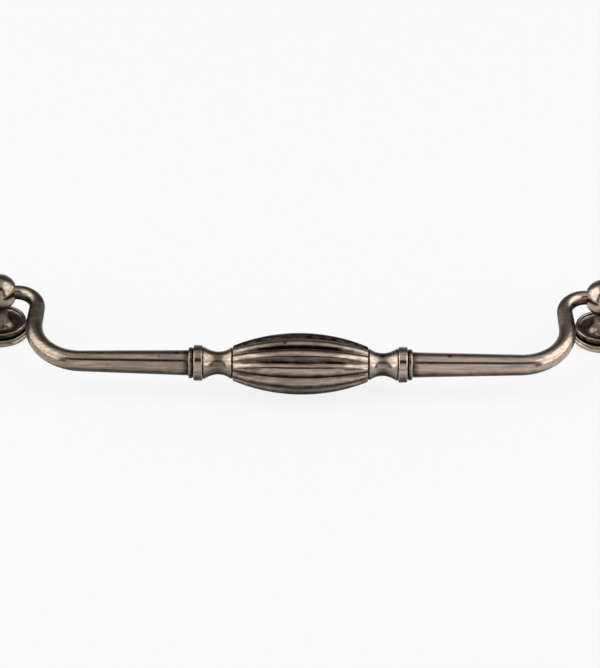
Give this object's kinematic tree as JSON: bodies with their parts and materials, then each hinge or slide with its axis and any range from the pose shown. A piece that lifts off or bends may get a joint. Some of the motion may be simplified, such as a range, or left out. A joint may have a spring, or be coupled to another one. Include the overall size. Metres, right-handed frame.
{
  "type": "drop pull",
  "caption": "Drop pull for a drawer: a cast bail with a reeded, swelling grip swings in the ball heads of posts on stepped round bases.",
  "frame": {"origin": "midway between the two post axes, on the mounting plane that the bases sit on", "axes": "+X along the pull from post to post, +Z out of the drawer front along the posts, the bail lying towards -Y"},
  "size_m": [0.2462, 0.0581, 0.0243],
  "materials": {
    "dark_pewter": "antiqued dark pewter on a zinc casting, rubbed bright on high spots, nearly black in recesses"
  },
  "bodies": {
    "posts": {"left_post": "dark_pewter", "right_post": "dark_pewter"},
    "bail": {"bail": "dark_pewter"}
  },
  "joints": [
    {"name": "bail_swing", "type": "hinge", "parent": "posts", "child": "bail", "pos_m": [0, 0, 0.0174], "axis": [-1, 0, 0], "range_deg": [0, 198]}
  ]
}
